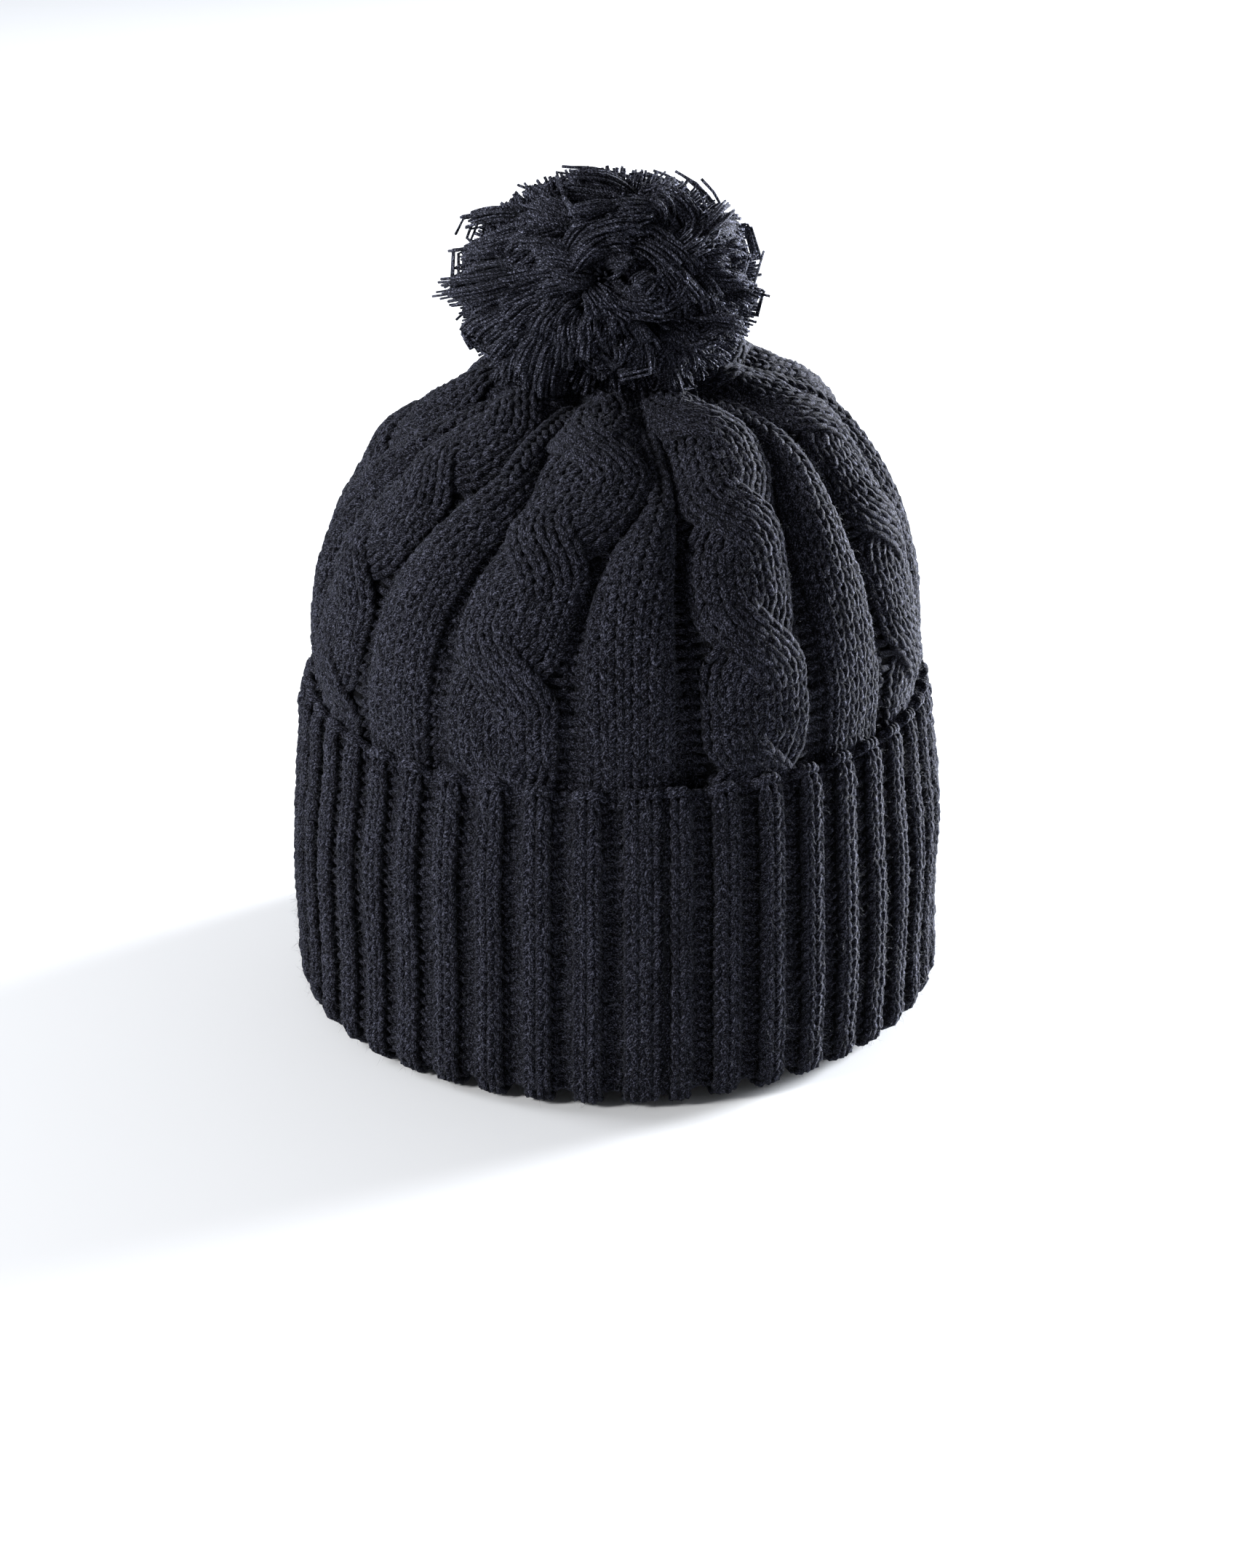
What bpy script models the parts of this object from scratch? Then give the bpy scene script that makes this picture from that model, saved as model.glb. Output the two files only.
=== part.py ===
"""Knit beanie with a turned-up rib cuff and a yarn pom-pom, as an assembly of separate named solids.

Metres, +Z up. The origin is the centre of the rim that the hat stands on. The hat's front faces -Y and its
back, with the seams, faces +Y. The outline of the head opening is an oval, and "inset" always means how far
a surface lies inside the cuff's outline. Knitted fabric, yarn and label are plain closed solids here.
"""

from math import cos, exp, pi, sin

import bmesh
import bpy
import numpy as np
from mathutils import Matrix, Vector

# Outline of the cuff, on top of its ribs
HALF_WIDTH = 0.0985
HALF_DEPTH = 0.1135
TOUCH_GAP = 0.0004  # left between neighbouring solids

# Turned-up cuff: outer band, fold at the rim, inner band
RIB_COUNT = 44
STEPS_PER_RIB = 4
RIB_DEPTH = 0.0030
OUTER_BAND_INSET = 0.0066  # inner face of the outer band
INNER_BAND_INSET = OUTER_BAND_INSET + TOUCH_GAP
BAND_THICKNESS = 0.0044
FOLD_HEIGHT = 0.0094
FOLD_FLAT = (0.0040, 0.0080)  # insets of the flat ring that the hat stands on
OUTER_BAND_TOP = 0.0925
EDGE_TOP = 0.0965
INNER_BAND_TOP = 0.0800
LEAN_START = 0.055  # above this height the cuff draws in towards the crown
LEAN = 0.0027

# Crown: an oval dome, drawn in at the top
CROWN_INSET = 0.0083
CROWN_BULGE = 0.0012  # the crown swells this far above the cuff
CROWN_BASE = INNER_BAND_TOP + 0.0005
SHOULDER = 0.110  # height where the wall turns into the dome
DOME_RISE = 0.0905
DOME_ROUNDNESS = 2.2
SIDE_LEAN = 0.07  # the -X shoulder is the fuller one
FRONT_LEAN = 0.05  # and the front is fuller than the back
DIP_DEPTH = 0.010
DIP_WIDTH = 0.45
FABRIC = 0.0044
RIDGE_COUNT = 16  # smooth ribs and cables in turn, eight of each
RIDGE_HEIGHT = 0.0011
FIRST_DECREASE = 0.85  # the panels narrow above this share of the radius
NECK_HOLE = 0.0045
STEPS_PER_RIDGE = 5

# Seams, at the back just off the middle
SEAM_X = -0.014
SEAM_YARN = 0.0005
SEAM_RIDGE = 0.0013  # the two selvages and the yarn that joins them, inside the hat

# Pom-pom and its tie
PIVOT_HEIGHT = 0.190  # where the tie leaves the gathered top
PILE_CENTRE = Vector((0.002, 0.004, 0.2205))
PILE_RADIUS = 0.0460
PILE_TOP = 0.0345  # half height above its centre
PILE_BOTTOM = 0.0220  # half height below its centre
PILE_BORE = 0.0065
PILE_BORE_TOP = 0.2225
TIE_RADIUS = 0.0016
TIE_ENDS = (0.1866, 0.1960)

# Care label, inside at the back
LABEL_SIZE = (0.024, 0.0006, 0.034)
LABEL_CENTRE = Vector((0.004, 0.0995, 0.052))

WOOL = (0.012, 0.013, 0.017, 1.0)
WOOL_PILE = (0.013, 0.014, 0.019, 1.0)
LABEL_WHITE = (0.75, 0.74, 0.70, 1.0)


def material(name, colour, roughness):
    made = bpy.data.materials.new(name)
    made.use_nodes = True
    shader = made.node_tree.nodes["Principled BSDF"]
    shader.inputs["Base Color"].default_value = colour
    shader.inputs["Roughness"].default_value = roughness
    shader.inputs["Metallic"].default_value = 0.0
    return made


def add_object(name, data, finish):
    made = bpy.data.objects.new(name, data)
    data.materials.append(finish)
    bpy.context.scene.collection.objects.link(made)
    return made


def loft(name, rings, finish, closed):
    """Skins a list of point rings, all with the same number of points. A closed loft runs back to its first
    ring, like a tyre. An open one is capped at both ends."""
    bm = bmesh.new()
    loops = [[bm.verts.new(point) for point in ring] for ring in rings]
    count = len(loops[0])
    pairs = list(zip(loops, loops[1:], strict=False))
    if closed:
        pairs.append((loops[-1], loops[0]))
    for low, high in pairs:
        for i in range(count):
            j = (i + 1) % count
            bm.faces.new((low[i], low[j], high[j], high[i]))
    if not closed:
        bm.faces.new(loops[0])
        bm.faces.new(loops[-1])
    bmesh.ops.recalc_face_normals(bm, faces=bm.faces)
    mesh = bpy.data.meshes.new(name)
    bm.to_mesh(mesh)
    bm.free()
    mesh.shade_smooth()
    mesh.set_sharp_from_angle(angle=0.9)
    return add_object(name, mesh, finish)


def tube(name, points, radius, finish):
    """A yarn or thread: a round tube through the points."""
    curve = bpy.data.curves.new(name, "CURVE")
    curve.dimensions = "3D"
    curve.bevel_depth = radius
    curve.bevel_resolution = 1
    curve.use_fill_caps = True
    spline = curve.splines.new("POLY")
    spline.points.add(len(points) - 1)
    for place, point in zip(spline.points, points, strict=True):
        place.co = (*point, 1.0)
    return add_object(name, curve, finish)


def turned(name, profile, sides, finish, centre=(0.0, 0.0)):
    """A solid turned about a vertical axis from (radius, height) pairs, capped at both ends."""
    rings = []
    for radius, height in profile:
        turns = [2 * pi * i / sides for i in range(sides)]
        rings.append([Vector((centre[0] + radius * cos(a), centre[1] + radius * sin(a), height)) for a in turns])
    return loft(name, rings, finish, closed=False)


def seam_angle():
    return np.arccos(SEAM_X / HALF_WIDTH)


def even_angles(count):
    """Angles that divide the oval into equal lengths of arc, the first one at the seam."""
    fine = np.linspace(0, 2 * pi, 2001) + seam_angle()
    speed = np.hypot(HALF_WIDTH * np.sin(fine), HALF_DEPTH * np.cos(fine))
    length = np.concatenate(([0], np.cumsum((speed[1:] + speed[:-1]) / 2)))
    return np.interp(np.arange(count) / count * length[-1], length, fine)


def oval(angle, inset, height):
    return Vector(((HALF_WIDTH - inset) * cos(angle), (HALF_DEPTH - inset) * sin(angle), height))


def lean(height):
    """How far the cuff's outside draws in at a height."""
    share = min(1.0, max(0.0, (height - LEAN_START) / (EDGE_TOP - LEAN_START)))
    return LEAN * share * share * (3 - 2 * share)


def ring_solid(name, section, count, finish):
    """A ring whose cross-section, a function of angle and step, gives (inset, height) pairs."""
    rings = []
    for step, angle in enumerate(even_angles(count)):
        rings.append([oval(angle, inset, height) for inset, height in section(step)])
    return loft(name, rings, finish, closed=True)


def cuff_outer_band(finish):
    """The turned-up layer: ribs outside, smooth inside."""
    rise = (0.0, 0.8, 1.0, 0.8)  # one rib, from the middle of a valley
    heights = (FOLD_HEIGHT + TOUCH_GAP, 0.050, 0.072, OUTER_BAND_TOP)

    def section(step):
        valley = (1 - rise[step % STEPS_PER_RIB]) * RIB_DEPTH
        outside = [(lean(height) + valley, height) for height in heights]
        return outside + [(OUTER_BAND_INSET, heights[-1]), (OUTER_BAND_INSET, heights[0])]

    return ring_solid("cuff_outer_band", section, RIB_COUNT * STEPS_PER_RIB, finish)


def cuff_fold(finish):
    """The turn of the fabric at the rim, half round with a flat underside."""
    inner = INNER_BAND_INSET + BAND_THICKNESS
    profile = [(0.0008, FOLD_HEIGHT), (0.0008, 0.0050), (0.0020, 0.0016), (FOLD_FLAT[0], 0.0)]
    profile += [(FOLD_FLAT[1], 0.0), (inner - 0.0014, 0.0018), (inner, 0.0050), (inner, FOLD_HEIGHT)]
    return ring_solid("cuff_fold", lambda step: profile, RIB_COUNT * 2, finish)


def cuff_inner_band(finish):
    """The layer next to the head, from the fold up to the crown."""
    low = FOLD_HEIGHT + TOUCH_GAP
    inner = INNER_BAND_INSET + BAND_THICKNESS
    profile = [(INNER_BAND_INSET, INNER_BAND_TOP), (INNER_BAND_INSET, low), (inner, low), (inner, INNER_BAND_TOP)]
    return ring_solid("cuff_inner_band", lambda step: profile, RIB_COUNT * 2, finish)


def cuff_cast_on_edge(finish):
    """The rounded first row of the knitting, which ends up at the top of the cuff."""
    low = OUTER_BAND_TOP + TOUCH_GAP
    out = LEAN + 0.0003
    middle = (low + EDGE_TOP) / 2
    profile = [(out + 0.0010, low), (out, middle), (out + 0.0010, EDGE_TOP)]
    profile += [(OUTER_BAND_INSET - 0.0008, EDGE_TOP), (OUTER_BAND_INSET, middle), (OUTER_BAND_INSET - 0.0008, low)]
    return ring_solid("cuff_cast_on_edge", lambda step: profile, RIB_COUNT * 2, finish)


def dome_height(share, angle, rise):
    """Height of the dome where share is the distance from the axis, 1 at the wall and 0 at the axis."""
    lift = rise * max(0.0, 1 - share * share) ** (1 / DOME_ROUNDNESS)
    tilt = 1 - SIDE_LEAN * share * cos(angle) - FRONT_LEAN * share * sin(angle)
    return SHOULDER + lift * tilt - DIP_DEPTH * exp(-((share / DIP_WIDTH) ** 2))


def crown_point(share, angle, inset, rise, ridge):
    """A point of the dome. The ridge lifts the fabric outwards and fades towards the gathered top."""
    fade = min(1.0, share / 0.35)
    reach = share * (HALF_WIDTH - inset) + ridge * fade * share
    reach_deep = share * (HALF_DEPTH - inset) + ridge * fade * share
    height = dome_height(share, angle, rise) + ridge * fade * (1 - share)
    return Vector((reach * cos(angle), reach_deep * sin(angle), height))


def crown_ring(angle, outer_shares, inner_shares, ridge):
    """One cross-section of the dome's fabric: along its outside, then back along its inside."""
    bulge_inset = CROWN_INSET - CROWN_BULGE
    inside = CROWN_INSET + FABRIC
    ring = [crown_point(share, angle, bulge_inset, DOME_RISE, ridge) for share in outer_shares]
    ring += [crown_point(share, angle, inside, DOME_RISE - FABRIC, 0) for share in reversed(inner_shares)]
    return ring


def crown_sections():
    """The angle of each cross-section of the crown, with the height of the ridges there."""
    for step, angle in enumerate(even_angles(RIDGE_COUNT * STEPS_PER_RIDGE)):
        yield angle, RIDGE_HEIGHT * cos(2 * pi * step / STEPS_PER_RIDGE)


def crown_fabric(finish):
    """The crown below its decreases: a short wall hidden by the cuff, then the lower part of the dome."""
    outer_shares = (1.0, 0.985, 0.955, 0.91, FIRST_DECREASE)
    inner_shares = (1.0, 0.97, 0.92, FIRST_DECREASE)
    rings = []
    for angle, ridge in crown_sections():
        wall = [oval(angle, CROWN_INSET, CROWN_BASE), oval(angle, CROWN_INSET, EDGE_TOP)]
        ring = wall + crown_ring(angle, outer_shares, inner_shares, ridge)
        ring.append(oval(angle, CROWN_INSET + FABRIC, CROWN_BASE))
        rings.append(ring)
    return loft("crown_fabric", rings, finish, closed=True)


def crown_gathered_top(finish):
    """The crown above its first decrease, drawn together round the hole that the tie goes through."""
    start = FIRST_DECREASE - 1.5 * TOUCH_GAP / HALF_WIDTH
    neck = NECK_HOLE / HALF_WIDTH
    outer_shares = (start, 0.77, 0.67, 0.55, 0.43, 0.31, 0.20, 0.11, neck)
    inner_shares = (start, 0.77, 0.67, 0.55, 0.43, 0.31, 0.18, neck)
    rings = [crown_ring(angle, outer_shares, inner_shares, ridge) for angle, ridge in crown_sections()]
    return loft("crown_gathered_top", rings, finish, closed=True)


def cuff_seam_yarn(finish):
    """The yarn that sews the cuff's two ends together, laced to and fro in the valley at the seam."""
    angle = seam_angle()
    low, high = FOLD_HEIGHT + 0.0015, OUTER_BAND_TOP - 0.0015
    stitches = 24
    points = []
    for i in range(stitches + 1):
        height = low + (high - low) * i / stitches
        side = 0.0005 * (-1) ** i
        inset = lean(height) + RIB_DEPTH - SEAM_YARN - TOUCH_GAP - 0.0004
        points.append(oval(angle, inset, height) + Vector((side, 0, 0)))
    return tube("cuff_seam_yarn", points, SEAM_YARN, finish)


def back_seam_yarn(finish):
    """The ridge of the back seam inside the hat, from the rim up to the gathered top."""
    angle = seam_angle()
    clearance = SEAM_RIDGE + 2 * TOUCH_GAP
    inside = CROWN_INSET + FABRIC + clearance
    points = [oval(angle, inside, 0.012 + 0.014 * i) for i in range(7)]
    for share in (1.0, 0.97, 0.92, 0.85, 0.76, 0.65, 0.53, 0.41, 0.29, 0.20):
        points.append(crown_point(share, angle, inside, DOME_RISE - FABRIC - clearance, 0))
    return tube("back_seam_yarn", points, SEAM_RIDGE, finish)


def crown_gather_yarn(finish):
    """The drawstring through the crown's last row, a loop under the gathered top."""
    loop_radius, yarn, height = 0.0080, 0.0011, 0.1832
    sides, count = 6, 20
    rings = []
    for step in range(count):
        around = 2 * pi * step / count
        ring = []
        for side in range(sides):
            turn = 2 * pi * side / sides
            radius = loop_radius + yarn * cos(turn)
            ring.append(Vector((radius * cos(around), radius * sin(around), height + yarn * sin(turn))))
        rings.append(ring)
    return loft("crown_gather_yarn", rings, finish, closed=True)


def gather_knot(finish):
    """The knot that fastens the drawstring, with its cut tail hanging down."""
    profile = [(0.0005, 0.1600), (0.0009, 0.1610), (0.0010, 0.1730), (0.0022, 0.1748), (0.0027, 0.1770)]
    profile += [(0.0022, 0.1792), (0.0008, 0.1805)]
    return turned("gather_knot", profile, 10, finish, centre=(0.0100, -0.0030))


def tie_knot(finish):
    """The knot of the pom-pom's tie, too big to pull through the gathered hole."""
    profile = [(0.0012, 0.1705), (0.0038, 0.1718), (0.0054, 0.1755), (0.0042, 0.1792), (0.0018, 0.1806)]
    profile += [(TIE_RADIUS, 0.1815), (TIE_RADIUS, 0.1858)]
    return turned("tie_knot", profile, 14, finish)


def pompom_tie(finish):
    """The twisted tails of the tie, where they pass through the gathered hole."""
    profile = [(TIE_RADIUS - 0.0003, TIE_ENDS[0]), (TIE_RADIUS, TIE_ENDS[0] + 0.0005)]
    profile += [(TIE_RADIUS, TIE_ENDS[1] - 0.0005), (TIE_RADIUS - 0.0003, TIE_ENDS[1])]
    return turned("pompom_tie", profile, 12, finish)


def pompom_binding(finish):
    """The yarn wound round the waist of the pile's strands, and the tails that leave it downwards."""
    profile = [(TIE_RADIUS - 0.0003, 0.1969), (TIE_RADIUS, 0.1975), (TIE_RADIUS, 0.2150)]
    profile += [(0.0050, 0.2165), (0.0057, 0.2185), (0.0050, 0.2205), (0.0020, 0.2215)]
    return turned("pompom_binding", profile, 14, finish)


def pompom_pile(finish):
    """The ball of cut strands, flatter below, with the hollow that holds the binding."""
    rows, sides = 18, 32
    start = np.arcsin(PILE_BORE / PILE_RADIUS)
    turns = [2 * pi * i / sides for i in range(sides)]
    lower_rim = PILE_CENTRE.z - PILE_BOTTOM * cos(start)
    rings = []
    for height in (PILE_BORE_TOP, lower_rim + 0.002):
        rings.append([Vector((PILE_BORE * cos(a), PILE_BORE * sin(a), height)) for a in turns])
    for row in range(rows + 1):
        polar = start + (pi - start - 0.06) * row / rows
        half_height = PILE_BOTTOM if polar < pi / 2 else PILE_TOP
        radius = PILE_RADIUS * sin(polar)
        middle = PILE_CENTRE * sin(polar)
        height = PILE_CENTRE.z - half_height * cos(polar)
        rings.append([Vector((middle.x + radius * cos(a), middle.y + radius * sin(a), height)) for a in turns])
    return loft("pompom_pile", rings, finish, closed=False)


def care_label(finish):
    """A blank woven label, sewn in along its top edge."""
    width, thickness, length = LABEL_SIZE
    rings = []
    for height in (-length / 2, 0.0, length / 2):
        corners = [(-width / 2, -thickness / 2), (width / 2, -thickness / 2)]
        corners += [(width / 2, thickness / 2), (-width / 2, thickness / 2)]
        rings.append([LABEL_CENTRE + Vector((x, y, height)) for x, y in corners])
    return loft("care_label", rings, finish, closed=False)


def care_label_stitches(finish):
    """The line of thread across the label's top edge."""
    width, thickness, length = LABEL_SIZE
    radius = 0.0004
    stitches = 10
    points = []
    for i in range(stitches + 1):
        across = (i / stitches - 0.5) * (width - 0.003)
        height = length / 2 - 0.003 + 0.0005 * (-1) ** i
        points.append(LABEL_CENTRE + Vector((across, -thickness / 2 - radius - TOUCH_GAP, height)))
    return tube("care_label_stitches", points, radius, finish)


def hang_from_pivot(hanging):
    """Gives the pieces that swing their origin where the tie leaves the crown."""
    pivot = bpy.data.objects.new("pompom_pivot", None)
    pivot.location = (0, 0, PIVOT_HEIGHT)
    bpy.context.scene.collection.objects.link(pivot)
    for piece in hanging:
        piece.parent = pivot
        piece.matrix_parent_inverse = Matrix.Translation((0, 0, -PIVOT_HEIGHT))


def clear_scene():
    for old in list(bpy.data.objects):
        bpy.data.objects.remove(old, do_unlink=True)


def build():
    clear_scene()
    crown_wool = material("crown_wool", WOOL, 0.95)
    crown_fabric(crown_wool)
    crown_gathered_top(crown_wool)
    rib_wool = material("rib_wool", WOOL, 0.95)
    for make in (cuff_outer_band, cuff_fold, cuff_inner_band, cuff_cast_on_edge):
        make(rib_wool)
    seam_wool = material("seam_yarn", WOOL, 0.9)
    for make in (cuff_seam_yarn, back_seam_yarn, crown_gather_yarn, gather_knot):
        make(seam_wool)
    tie_wool = material("tie_yarn", WOOL_PILE, 0.9)
    tie_knot(tie_wool)
    pile = pompom_pile(material("pile_yarn", WOOL_PILE, 0.9))
    hang_from_pivot([pompom_tie(tie_wool), pompom_binding(tie_wool), pile])
    care_label(material("label_satin", LABEL_WHITE, 0.5))
    care_label_stitches(material("label_thread", LABEL_WHITE, 0.6))


build()
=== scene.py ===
"""Detailed look of the knit beanie: every course of yarn in the cuff and the crown, the cut strands of the
pom-pom, loose fibres, seams, tie and label, with their wool materials, and the stage they are seen on.

Metres, +Z up. The hat stands on the floor with its back, where the seams are, towards the camera at +Y.
Lengths along a row of knitting are counted in wales (columns of stitches) and along a column in rows.
"""

import bpy
import numpy as np
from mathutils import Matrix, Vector


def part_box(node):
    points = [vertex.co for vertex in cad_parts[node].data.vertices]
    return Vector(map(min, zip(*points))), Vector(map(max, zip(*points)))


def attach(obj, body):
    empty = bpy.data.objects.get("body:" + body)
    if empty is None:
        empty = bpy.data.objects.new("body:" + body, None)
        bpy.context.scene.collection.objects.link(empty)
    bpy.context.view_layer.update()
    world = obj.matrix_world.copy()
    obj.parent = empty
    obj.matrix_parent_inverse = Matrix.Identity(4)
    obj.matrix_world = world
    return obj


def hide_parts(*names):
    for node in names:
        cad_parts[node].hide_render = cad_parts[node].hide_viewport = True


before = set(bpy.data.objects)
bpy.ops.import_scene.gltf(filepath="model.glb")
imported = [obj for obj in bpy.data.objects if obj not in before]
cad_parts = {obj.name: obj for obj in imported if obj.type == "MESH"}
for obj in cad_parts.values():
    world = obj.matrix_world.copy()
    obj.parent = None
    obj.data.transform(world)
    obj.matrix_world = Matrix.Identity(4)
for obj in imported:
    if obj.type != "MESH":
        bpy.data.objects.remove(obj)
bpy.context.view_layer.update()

TAU = 2 * np.pi

# Outline and heights that the CAD model has
HALF_WIDTH = 0.0985
HALF_DEPTH = 0.1135
EDGE_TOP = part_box("cuff_cast_on_edge")[1].z
FOLD_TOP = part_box("cuff_fold")[1].z
BAND_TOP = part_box("cuff_inner_band")[1].z
LAYER_JOIN = FOLD_TOP - 0.0012  # height where the fold's inner end meets the inner layer
LEAN_START = 0.055  # height where the cuff starts to draw in
LEAN = 0.0027
SEAM_X = -0.014
SHOULDER = 0.110
DOME_RISE = 0.0905
DOME_ROUNDNESS = 2.2
SIDE_LEAN = 0.07
FRONT_LEAN = 0.05
DIP_DEPTH = 0.010
DIP_WIDTH = 0.45

# Yarn and stitches
YARN_RADIUS = 0.00113
LOOP_SPREAD = 0.27  # how far a loop's legs lean, in wales
LOOP_HEIGHT = 1.9  # of one loop, in rows
LOOP_DEPTH = 0.00080  # how far legs and heads stand out of the middle of the fabric
WALE_ROUND = 0.00035  # how far the middle of a knit wale stands out, and its sides lie in
JITTER_ALONG = 0.045  # random shift of each stitch along its row, in wales
JITTER_UP = 0.06  # and up, in rows
JITTER_DEPTH = 0.16  # and out, as a share of LOOP_DEPTH
POINTS_PER_STITCH = 12
YARN_SIDES = 5
YARN_TWIST = 110.0  # turns of the UV round the yarn in a metre
GROUND_HALF = 0.0006  # half the thickness of the felted middle under the yarn
GROUND_COLUMNS = 3  # of that middle's mesh, in each wale
FACE_LIMIT = 195000  # triangles in one piece

# Two-by-two rib
RIB_ROW = 0.00337
RIB_RELIEF = 0.0021
VALLEY_SHARE = 0.75  # of that, how deep the purl wales lie
INNER_RELIEF = 0.5  # of both, on the inner layer
KNIT_WIDTH = 1.05
PURL_WIDTH = 0.95
RIBS = 43  # whole ribs, beside the wide one that the seam runs through
OUTER_INSET = 0.0031  # how far inside the oval the outer layer's middle lies
INNER_INSET = 0.0093
FOLD_CENTRE = 0.0072  # height of the middle of the fold's round
FIRST_COURSE = 0.0024  # from the cuff's edge
INNER_POINTS = 8  # in a stitch of the inner layer, which is seldom seen
INNER_SIDES = 4
WAVER = 0.0004  # how far a course wanders in and out
CAST_ON_RADIUS = 0.00105
SEAM_DEPTH = 0.0032  # of the seam's groove in the cuff, and of its channel in the crown

# Crown
CROWN_ROW = 0.00345
REPEATS = 8
RIB_WALES = 6
CABLE_WALES = 8
CABLE_PERIOD = 10.0  # rows from one crossing to the next
CROSSING_ROWS = 8.0
CABLE_FRONT = 0.0015  # how far the front half of a cable stands out where it crosses
CABLE_BACK = 0.0007  # and the back half lies in
CABLE_ROUND = 0.0006  # how far the middle of each half stands out
CROWN_WALE = 0.00428
CROWN_RELIEF = 0.0013
CROWN_YARN = 1.14  # its yarn's radius as a share of the cuff's
PLEAT_DEPTH = 0.0046  # the most that crowded panels sink at their sides
CROWN_PERIMETER = 0.617  # round its wall
CROWN_START = 0.078  # height of its lowest row
TOP_SHARE = 0.12  # of the way out from the middle, where the last row lies
WALL_INSET = 0.0101
DOME_INSET = 0.0092
HALF_FABRIC = 0.0019
SEAM_CHANNEL_ANGLE = 1.806  # of the crown's back seam, in radians from +X

# Pom-pom
STRAND_RADIUS = 0.00045
STRAND_TWIST = 385.0
STRAND_CLEARANCE = 0.0042  # the lowest strands' height over the middle of the crown's fabric
LOOSE_STRANDS = 3500

# Loose fibres
FIBRE_RADII = (0.000024, 0.000019, 0.000006)  # at root, middle and tip
YARN_FIBRE_LENGTHS = (0.0018, 0.0042)
PILE_FIBRE_LENGTHS = (0.001, 0.0025)
CUFF_FIBRES = 20000
CROWN_FIBRES = 20000
PILE_FIBRES = 12000

rng = np.random.default_rng(11)


def unit(vectors):
    return vectors / np.maximum(np.linalg.norm(vectors, axis=-1, keepdims=True), 1e-12)


def ease(x):
    x = np.clip(x, 0, 1)
    return x * x * (3 - 2 * x)


# ---------------------------------------------------------------- meshes


def mesh_object(name, points, quads, uvs, finish, caps=None, shade=None):
    """A smooth mesh from arrays: points (n, 3), quads (m, 4), uvs (m, 4, 2) and, where there are any,
    caps (k, sides) with one polygon for each end of a tube, and shade (n), painted shade for each point,
    stored as an attribute that darkens the colour."""
    mesh = bpy.data.meshes.new(name)
    loops = quads.ravel()
    starts = np.arange(len(quads)) * 4
    texture = uvs.reshape(-1, 2)
    if caps is not None:
        starts = np.concatenate((starts, len(loops) + np.arange(len(caps)) * caps.shape[1]))
        texture = np.concatenate((texture, np.full((caps.size, 2), 0.5)))
        loops = np.concatenate((loops, caps.ravel()))
    mesh.vertices.add(len(points))
    mesh.vertices.foreach_set("co", points.astype(np.float32).ravel())
    mesh.loops.add(len(loops))
    mesh.loops.foreach_set("vertex_index", loops.astype(np.int32))
    mesh.polygons.add(len(starts))
    mesh.polygons.foreach_set("loop_start", starts.astype(np.int32))
    mesh.update(calc_edges=True)
    mesh.uv_layers.new(name="UVMap").data.foreach_set("uv", texture.astype(np.float32).ravel())
    mesh.shade_smooth()
    if shade is not None:
        values = mesh.attributes.new("shade", "FLOAT", "POINT").data
        values.foreach_set("value", shade.astype(np.float32).ravel())
    mesh.materials.append(finish)
    made = bpy.data.objects.new(name, mesh)
    bpy.context.scene.collection.objects.link(made)
    return made


def tubes(name, paths, radii, facing, sides, closed, finish, twist, shade):
    """Round tubes along paths (tubes, points, 3). radii and facing hold a radius and a direction to set the
    first side by, for each point. The UV runs round the tube, with twist turns a metre, and along it in
    metres. shade is painted shade for each point of the path, from 0, darkest, to 1, which darkens the
    colour. Open tubes get caps."""
    count, length = paths.shape[:2]
    ahead = np.roll(paths, -1, axis=1)
    behind = np.roll(paths, 1, axis=1)
    if not closed:
        ahead[:, -1] = paths[:, -1]
        behind[:, 0] = paths[:, 0]
    along = unit(ahead - behind)
    across = unit(np.cross(along, facing))
    up = np.cross(across, along)
    turn = TAU * np.arange(sides) / sides
    ring = np.cos(turn)[:, None] * across[:, :, None] + np.sin(turn)[:, None] * up[:, :, None]
    points = paths[:, :, None] + np.broadcast_to(radii, (count, length))[..., None, None] * ring
    index = np.arange(count * length * sides).reshape(count, length, sides)
    beside = np.roll(index, -1, axis=2)
    steps = np.linalg.norm(ahead - paths, axis=-1)
    travelled = np.concatenate((np.zeros((count, 1)), np.cumsum(steps, axis=1)), axis=1)
    if closed:
        quads = np.stack((index, beside, np.roll(beside, -1, axis=1), np.roll(index, -1, axis=1)), axis=-1)
        low, high = travelled[:, :-1], travelled[:, 1:]
    else:
        quads = np.stack((index[:, :-1], beside[:, :-1], beside[:, 1:], index[:, 1:]), axis=-1)
        low, high = travelled[:, :-2], travelled[:, 1:-1]
    side = np.arange(sides) / sides
    shape = quads.shape[:3]
    v_low = np.broadcast_to(low[..., None], shape)
    v_high = np.broadcast_to(high[..., None], shape)
    corners = ((side, v_low), (side + 1 / sides, v_low), (side + 1 / sides, v_high), (side, v_high))
    uvs = np.stack([np.stack((u + twist * v, v), axis=-1) for u, v in corners], axis=-2)
    caps = None
    if not closed:
        caps = np.concatenate((index[:, 0, ::-1], index[:, -1]))
    # Painted shade: each tube is darker round the side opposite its facing, which on the knitting is the side
    # towards the middle of the fabric.
    painted_shade_round = shade[..., None] * (0.72 + 0.28 * np.sin(turn))
    points, quads, uvs = points.reshape(-1, 3), quads.reshape(-1, 4), uvs.reshape(-1, 4, 2)
    return mesh_object(name, points, quads, uvs, finish, caps, painted_shade_round)


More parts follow.
